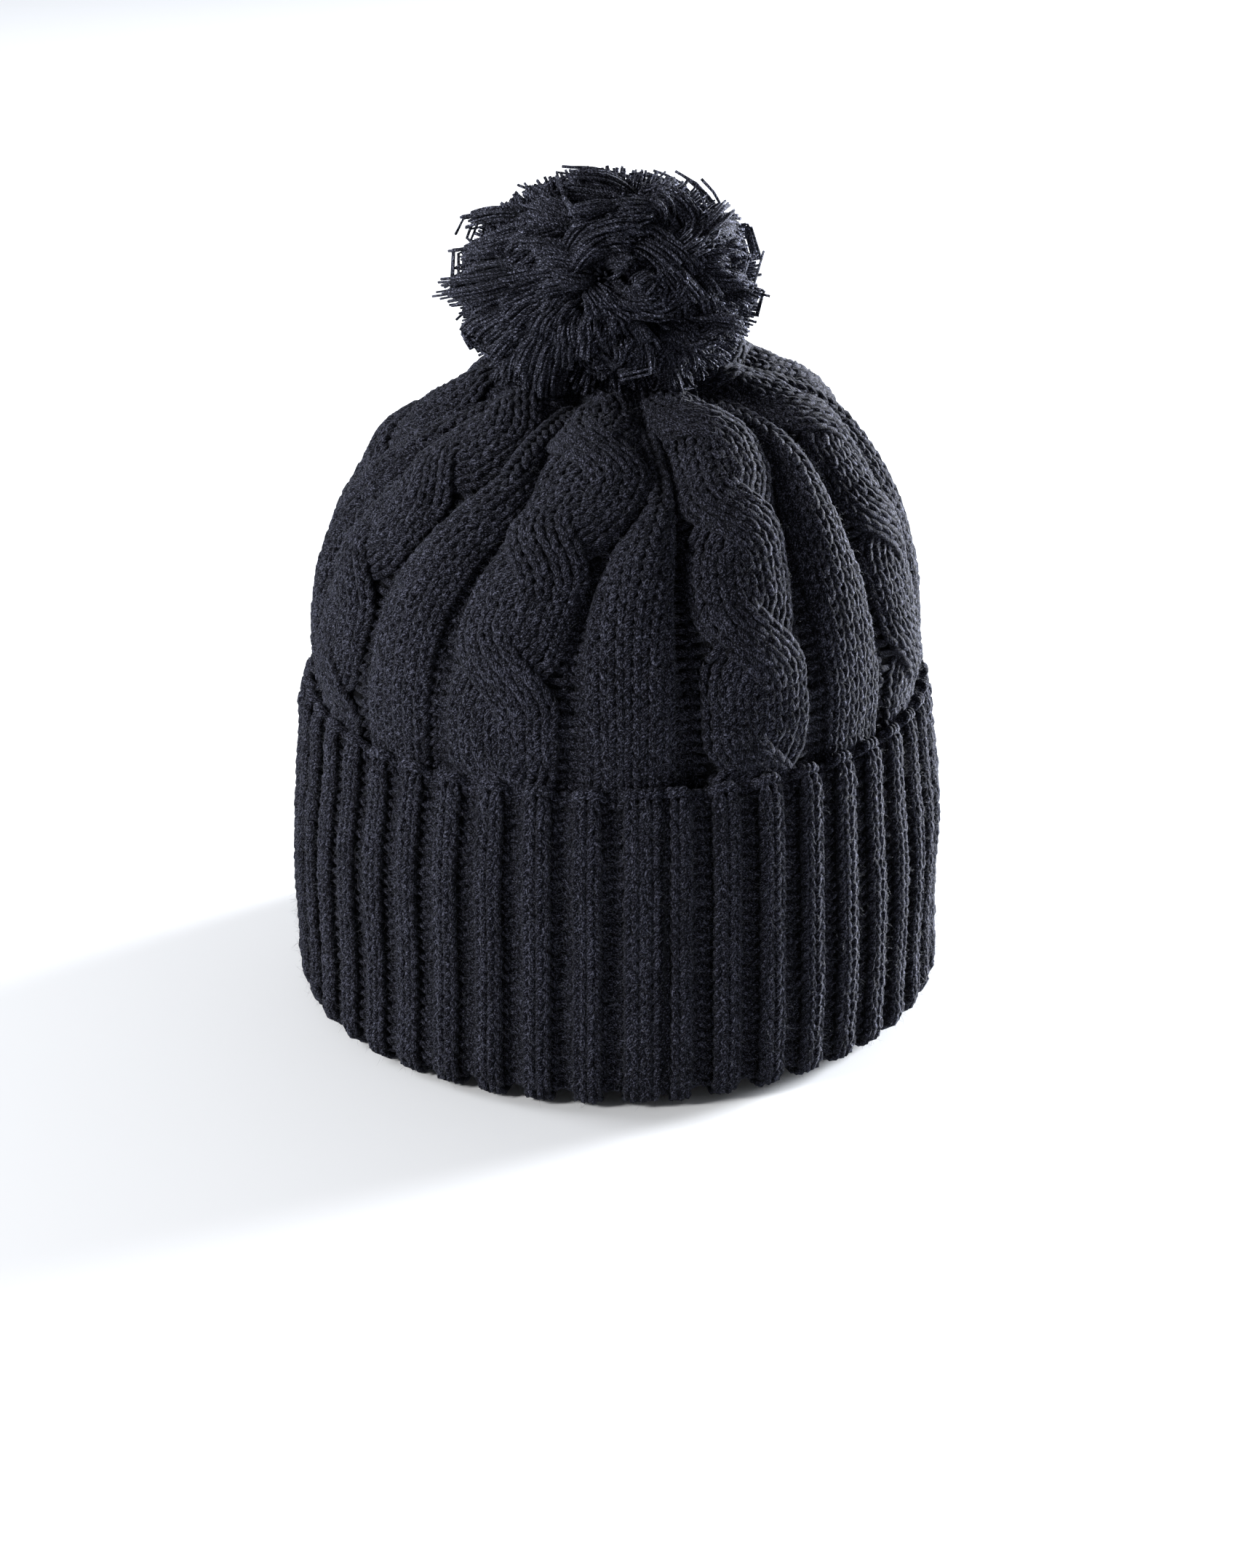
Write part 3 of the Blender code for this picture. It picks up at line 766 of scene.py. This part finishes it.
def bundle_strands(tufts, start_width, end_width, layer, way, front):
    """The strands of one bundle, in small tufts that come out of the pile one behind the other along the
    bundle's way and lie over it."""
    steps = np.linspace(0, 1, STRAND_POINTS)
    starts = rng.uniform(-0.12, 0.66, (tufts, 1))
    lengths = rng.uniform(0.34, 0.52, (tufts, 1))
    places = rng.uniform(-1, 1, (tufts, 1))
    bend, rise, curl = rng.normal(0, 1, (3, tufts, 1))
    tuft = np.repeat(np.arange(tufts), STRANDS_PER_TUFT)
    uneven = rng.uniform(0.84, 1.08, (len(tuft), 1))
    t = np.minimum(starts[tuft] + lengths[tuft] * uneven * steps, 1.02)
    middle = along_way(way, t)
    ahead = along_way(way, t + 0.02) - along_way(way, t - 0.02)
    aside = unit(np.stack((-ahead[..., 1], ahead[..., 0]), -1))
    width = start_width + (end_width - start_width) * t
    parting = rng.normal(0, 1, (len(tuft), 1)) * (0.024 + 0.020 * steps)
    across = places[tuft] * width / 2 + parting + 0.045 * bend[tuft] * steps**2
    across = across + 0.012 * curl[tuft] * np.sin(5 * steps + 3 * curl[tuft])
    spot = middle + aside * across[..., None]
    depth = rng.random((len(tuft), 1)) ** 1.5 * 0.10
    out = layer - depth - 0.42 * (1 - steps) ** 3 + 0.045 * rise[tuft]
    out = out + (0.035 * curl[tuft] + 0.028 * rng.normal(0, 1, (len(tuft), 1))) * steps**2
    reach = np.hypot(spot[..., 0], spot[..., 1])
    over = np.clip(reach - PILE_TURN, 0, None)
    kept = reach - over + (0.99 - PILE_TURN) * np.tanh(over / (0.99 - PILE_TURN))
    spot = spot * (kept / np.maximum(reach, 1e-6))[..., None]
    return on_pile(spot[..., 0], spot[..., 1], out, front)


def loose_strands(count):
    """Strands that stick straight out all round, under and between the bundles."""
    way = unit(rng.normal(size=(count, 3)))
    bent = unit(way + rng.normal(0, 0.22, (count, 3)))
    steps = np.linspace(0.45, 1, STRAND_POINTS - 2)[None, :, None]
    tuft = 0.025 * np.sin(way[:, 0] * 9 + 2) * np.cos(way[:, 2] * 11) + rng.normal(0, 0.018, count)
    line = way[:, None] * steps * (1 - steps * 0.3) + bent[:, None] * steps * (steps * 0.3)
    line = line * (0.985 + tuft)[:, None, None]
    line = line * PILE_REACH
    return line[..., 0:1] * PILE_SIDE + line[..., 1:2] * PILE_UP + line[..., 2:3] * PILE_FRONT


def above_crown(line):
    """Lifts strands that would pass through the crown onto it."""
    reach = np.hypot(line[..., 0] / (HALF_WIDTH - DOME_INSET), line[..., 1] / (HALF_DEPTH - DOME_INSET))
    angle = np.arctan2(line[..., 1], line[..., 0])
    lowest = dome_height(reach, angle) + STRAND_CLEARANCE
    lifted = line.copy()
    lifted[..., 2] = np.maximum(line[..., 2], lowest + 0.12 * np.clip(line[..., 2] - lowest, -0.02, 0))
    return lifted


def strand_pieces(name, line):
    """Strands as tubes, with painted shade: their colour is darker towards their roots, deep in the pile."""
    along = unit(line[:, -1] - line[:, 0])
    aside = unit(np.cross(along, rng.normal(size=along.shape)))
    facing = np.broadcast_to(aside[:, None], line.shape)
    radii = np.full(line.shape[:2], STRAND_RADIUS) * (1 + 0.08 * rng.normal(size=(len(line), 1)))
    # Painted shade, darkest at the root
    shade = 0.3 + 0.7 * ease(np.linspace(-0.1, 1.1, line.shape[1]))
    return tube_pieces(name, line, radii, facing, STRAND_SIDES, False, pile_wool, "pompom",
                       STRAND_TWIST, shade)


def build_pompom():
    laid = [bundle_strands(*bundle, front) for front in (1.0, -1.0) for bundle in BUNDLES]
    laid = above_crown(np.concatenate(laid) + PILE_CENTRE)
    loose = above_crown(loose_strands(LOOSE_STRANDS) + PILE_CENTRE)
    strand_pieces("pompom_bundles", laid)
    strand_pieces("pompom_loose", loose)
    heart = pompom_heart()
    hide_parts("pompom_pile")
    return heart, laid


def pompom_heart():
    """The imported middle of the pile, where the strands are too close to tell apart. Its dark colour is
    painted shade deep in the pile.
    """
    rows, columns = 40, 72
    polar = np.linspace(0.04, np.pi - 0.04, rows)[:, None]
    around = TAU * np.arange(columns)[None, :] / columns
    swell = HEART_SWELL * (1 + 0.03 * np.sin(9 * around) * np.sin(polar) ** 2)
    outside = np.stack((swell * np.sin(polar) * np.cos(around), swell * np.sin(polar) * np.sin(around),
                        swell * np.cos(polar)), -1) * HEART_REACH
    inside = outside * 0.25 + PILE_CENTRE
    heart = shell("pompom_heart", above_crown(outside + PILE_CENTRE), inside, shade_ground_wool)
    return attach(heart, "pompom")


# ---------------------------------------------------------------- materials


def nodes_of(name):
    made = bpy.data.materials.new(name)
    made.use_nodes = True
    tree = made.node_tree
    return made, tree, tree.nodes["Principled BSDF"]


def add(tree, kind, **settings):
    """A new node, with settings for its inputs or, where it has no input of that name, its own."""
    node = tree.nodes.new(kind)
    for key, value in settings.items():
        if key in node.inputs:
            node.inputs[key].default_value = value
        else:
            setattr(node, key, value)
    return node


def wool_material(name, tones, sheen, streaks, bump, plies=0.0, with_painted_shade=False):
    """Brushed wool: short pale and dark fibres that run along the yarn, over a softer change of tone. tones
    are three colours from dark to light. plies is how many yarns are twisted together, where that shows.
    The last argument turns on painted shade: the colour is darkened by the meshes' shade attribute."""
    made, tree, shader = nodes_of(name)
    link = tree.links.new
    shader.inputs["Roughness"].default_value = 0.92
    shader.inputs["Specular IOR Level"].default_value = 0.06
    shader.inputs["Sheen Weight"].default_value = sheen
    shader.inputs["Sheen Roughness"].default_value = 0.5
    shader.inputs["Sheen Tint"].default_value = (0.75, 0.82, 1.0, 1.0)
    place = add(tree, "ShaderNodeUVMap", uv_map="UVMap")
    stretch = add(tree, "ShaderNodeMapping")
    stretch.inputs["Scale"].default_value = streaks
    link(place.outputs["UV"], stretch.inputs["Vector"])
    along = add(tree, "ShaderNodeTexNoise", Scale=1.0, Detail=2.0, Roughness=0.6)
    link(stretch.outputs["Vector"], along.inputs["Vector"])
    solid = add(tree, "ShaderNodeTexCoord")
    grain = add(tree, "ShaderNodeTexNoise", Scale=1900.0, Detail=2.0, Roughness=0.6)
    link(solid.outputs["Object"], grain.inputs["Vector"])
    patches = add(tree, "ShaderNodeTexNoise", Scale=120.0, Detail=2.0, Roughness=0.5)
    link(solid.outputs["Object"], patches.inputs["Vector"])
    both = add(tree, "ShaderNodeMath", operation="ADD")
    link(along.outputs["Fac"], both.inputs[0])
    link(grain.outputs["Fac"], both.inputs[1])
    tone = add(tree, "ShaderNodeMath", operation="MULTIPLY_ADD")
    link(patches.outputs["Fac"], tone.inputs[0])
    tone.inputs[1].default_value = 0.12
    link(both.outputs["Value"], tone.inputs[2])
    level = add(tree, "ShaderNodeMapRange", **{"From Min": 0.90, "From Max": 1.26})
    link(tone.outputs["Value"], level.inputs["Value"])
    ramp = add(tree, "ShaderNodeValToRGB")
    ramp.color_ramp.elements.new(0.5)
    for stop, colour in zip(ramp.color_ramp.elements, tones):
        stop.color = (*colour, 1.0)
    link(level.outputs["Result"], ramp.inputs["Fac"])
    colour = painted_recess_shade(tree, ramp.outputs["Color"]) if with_painted_shade else ramp.outputs["Color"]
    link(colour, shader.inputs["Base Color"])
    height = both.outputs["Value"]
    if plies:
        height = ply_grooves(tree, place, plies, colour, shader, height)
    raised = add(tree, "ShaderNodeBump", Strength=bump, Distance=0.0004)
    link(height, raised.inputs["Height"])
    link(raised.outputs["Normal"], shader.inputs["Normal"])
    return made


def darkened(tree, colour, factor):
    """The colour times a factor."""
    mix = add(tree, "ShaderNodeMix", data_type="RGBA", blend_type="MULTIPLY")
    mix.inputs[0].default_value = 1.0
    tree.links.new(colour, mix.inputs[6])
    tree.links.new(factor, mix.inputs[7])
    return mix.outputs[2]


def painted_recess_shade(tree, colour):
    """Painted shade: the colour, darker where the yarn lies deep between its neighbours."""
    painted_shade_factor = add(tree, "ShaderNodeAttribute", attribute_name="shade")
    level = add(tree, "ShaderNodeMapRange", **{"To Min": 0.10, "To Max": 1.35})
    tree.links.new(painted_shade_factor.outputs["Fac"], level.inputs["Value"])
    return darkened(tree, colour, level.outputs["Result"])


def ply_grooves(tree, place, plies, colour, shader, height):
    """Grooves between the plies of a twisted yarn, with painted shade that darkens the colour in them. Gives
    the height with the grooves in it.
    """
    link = tree.links.new
    split = add(tree, "ShaderNodeSeparateXYZ")
    link(place.outputs["UV"], split.inputs["Vector"])
    turn = add(tree, "ShaderNodeMath", operation="MULTIPLY")
    link(split.outputs["X"], turn.inputs[0])
    turn.inputs[1].default_value = plies * np.pi
    wave = add(tree, "ShaderNodeMath", operation="SINE")
    link(turn.outputs["Value"], wave.inputs[0])
    groove = add(tree, "ShaderNodeMath", operation="ABSOLUTE")
    link(wave.outputs["Value"], groove.inputs[0])
    # Painted shade in the grooves
    shade = add(tree, "ShaderNodeMapRange", **{"From Max": 0.6, "To Min": 0.30})
    link(groove.outputs["Value"], shade.inputs["Value"])
    link(darkened(tree, colour, shade.outputs["Result"]), shader.inputs["Base Color"])
    deeper = add(tree, "ShaderNodeMath", operation="MULTIPLY_ADD")
    link(groove.outputs["Value"], deeper.inputs[0])
    deeper.inputs[1].default_value = 0.8
    link(height, deeper.inputs[2])
    return deeper.outputs["Value"]


def plain_material(name, colour, roughness, sheen=0.0):
    made, _, shader = nodes_of(name)
    shader.inputs["Base Color"].default_value = (*colour, 1.0)
    shader.inputs["Roughness"].default_value = roughness
    shader.inputs["Sheen Weight"].default_value = sheen
    return made


def label_material():
    """Woven satin tape: fine ribs across it."""
    made, tree, shader = nodes_of("label_satin_woven")
    shader.inputs["Base Color"].default_value = (0.70, 0.69, 0.65, 1.0)
    shader.inputs["Roughness"].default_value = 0.45
    place = add(tree, "ShaderNodeTexCoord")
    weave = add(tree, "ShaderNodeTexWave", Scale=700.0, Distortion=0.4, bands_direction="Z")
    tree.links.new(place.outputs["Object"], weave.inputs["Vector"])
    raised = add(tree, "ShaderNodeBump", Strength=0.4, Distance=0.0002)
    tree.links.new(weave.outputs["Fac"], raised.inputs["Height"])
    tree.links.new(raised.outputs["Normal"], shader.inputs["Normal"])
    return made


# ---------------------------------------------------------------- small CAD parts that stay


def dress_small_parts():
    for node in ("back_seam_yarn", "cuff_seam_yarn", "crown_gather_yarn", "gather_knot", "tie_knot",
                 "pompom_tie", "pompom_binding"):
        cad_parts[node].data.materials[0] = cord_wool
    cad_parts["care_label"].data.materials[0] = label_material()
    thread = plain_material("label_thread_spun", (0.72, 0.71, 0.67), 0.6, 0.2)
    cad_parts["care_label_stitches"].data.materials[0] = thread


# ---------------------------------------------------------------- stage


def floor():
    mesh = bpy.data.meshes.new("floor")
    size = 9.0
    corners = [(-size, -size, 0), (size, -size, 0), (size, size, 0), (-size, size, 0)]
    mesh.from_pydata(corners, [], [(0, 1, 2, 3)])
    mesh.materials.append(plain_material("pale_floor", (0.66, 0.67, 0.69), 0.8))
    made = bpy.data.objects.new("floor", mesh)
    bpy.context.scene.collection.objects.link(made)


def aim(thing, target):
    thing.rotation_euler = (Vector(target) - thing.location).to_track_quat("-Z", "Y").to_euler()


def camera():
    """The photograph's angle: a long lens from behind the hat and above it."""
    data = bpy.data.cameras.new("camera")
    data.lens = 97.9
    data.sensor_width = 36.0
    data.clip_end = 60.0
    made = bpy.data.objects.new("camera", data)
    made.location = (0.0, 1.2343, 0.5182)
    aim(made, (-0.0034, 0.0, 0.0590))
    bpy.context.scene.collection.objects.link(made)
    bpy.context.scene.camera = made


LIT_POINT = (0, 0, 0.12)


def lamp(name, place, size, power, colour):
    data = bpy.data.lights.new(name, "AREA")
    data.shape = "DISK"
    data.size = size
    data.energy = power
    data.color = colour
    made = bpy.data.objects.new(name, data)
    made.location = place
    aim(made, LIT_POINT)
    bpy.context.scene.collection.objects.link(made)


def lights():
    lamp("key", (1.9, 1.1, 1.1), 0.6, 76.0, (1.0, 0.99, 0.97))
    lamp("fill", (-1.6, 1.2, 0.9), 1.4, 2.0, (0.93, 0.96, 1.0))
    lamp("rim_right", (-1.5, -1.05, 0.14), 0.8, 480.0, (0.95, 0.97, 1.0))
    lamp("rim_left", (1.7, -0.5, 0.8), 0.9, 30.0, (0.95, 0.97, 1.0))


def sky():
    """Pale surroundings, brighter behind the object and low down, and dim on the camera's side."""
    world = bpy.data.worlds.new("studio")
    world.use_nodes = True
    tree = world.node_tree
    background = tree.nodes["Background"]
    place = add(tree, "ShaderNodeTexCoord")
    split = add(tree, "ShaderNodeSeparateXYZ")
    tree.links.new(place.outputs["Generated"], split.inputs["Vector"])
    glow = add(tree, "ShaderNodeMapRange",
               **{"From Min": 0.7, "From Max": -0.9, "To Min": 0.045, "To Max": 0.75})
    tree.links.new(split.outputs["Y"], glow.inputs["Value"])
    horizon = add(tree, "ShaderNodeMapRange", **{"From Min": 0.40, "From Max": 0.16, "To Max": 0.80})
    tree.links.new(split.outputs["Z"], horizon.inputs["Value"])
    strength = add(tree, "ShaderNodeMath", operation="MAXIMUM")
    tree.links.new(glow.outputs["Result"], strength.inputs[0])
    tree.links.new(horizon.outputs["Result"], strength.inputs[1])
    tree.links.new(strength.outputs["Value"], background.inputs["Strength"])
    background.inputs["Color"].default_value = (0.94, 0.96, 1.0, 1.0)
    bpy.context.scene.world = world
    bpy.context.scene.view_settings.view_transform = "Standard"


# ---------------------------------------------------------------- assembly

# Colours of each wool from dark to light
YARN_TONES = ((0.0004, 0.0005, 0.0010), (0.0038, 0.0040, 0.0068), (0.066, 0.069, 0.098))
# The ground sheets and the pom-pom's heart are darker than the yarn: painted shade in the gaps between loops
# and deep in the pile.
GROUND_SHADE_TONES = ((0.0003, 0.0003, 0.0005), (0.001, 0.0011, 0.0015), (0.009, 0.010, 0.013))
PILE_TONES = ((0.0008, 0.0009, 0.0016), (0.0105, 0.0111, 0.0183), (0.145, 0.152, 0.210))
CORD_TONES = ((0.001, 0.001, 0.0015), (0.004, 0.0045, 0.006), (0.03, 0.032, 0.042))

wool = wool_material("brushed_wool", YARN_TONES, 0.03, (26.0, 800.0, 1.0), 1.0, with_painted_shade=True)
shade_ground_wool = wool_material("felted_ground_painted_shade", GROUND_SHADE_TONES, 0.0, (900.0, 900.0, 1.0), 0.8)
fibre_wool = plain_material("loose_fibre", (0.050, 0.055, 0.074), 0.7, 0.1)
pile_wool = wool_material("pile_two_ply", PILE_TONES, 0.03, (10.0, 900.0, 1.0), 0.9, plies=2.0, with_painted_shade=True)
cord_wool = wool_material("cord_wool", CORD_TONES, 0.05, (900.0, 900.0, 1.0), 0.7)

camera()
lights()
sky()
floor()

cuff_ground, cuff_pieces, cuff_surface, cuff_length = build_cuff()
band_ground, band_pieces, band_length = build_inner_band()
crown_sheet, crown_pieces, crown_surface = build_crown()
heart, strand_lines = build_pompom()
dress_small_parts()

cuff_fuzz = fibres("cuff_fibres", cuff_surface, CUFF_FIBRES, YARN_RADIUS, "turned_cuff")
crown_fuzz = fibres("crown_fibres", crown_surface, CROWN_FIBRES, YARN_RADIUS, "beanie")
outer_ends = strand_lines[:, STRAND_POINTS // 2:]
strand_facing = np.broadcast_to(rng.normal(size=(len(strand_lines), 1, 3)), outer_ends.shape)
fibres("pompom_fibres", (outer_ends, strand_facing), PILE_FIBRES, STRAND_RADIUS, "pompom",
       PILE_FIBRE_LENGTHS)
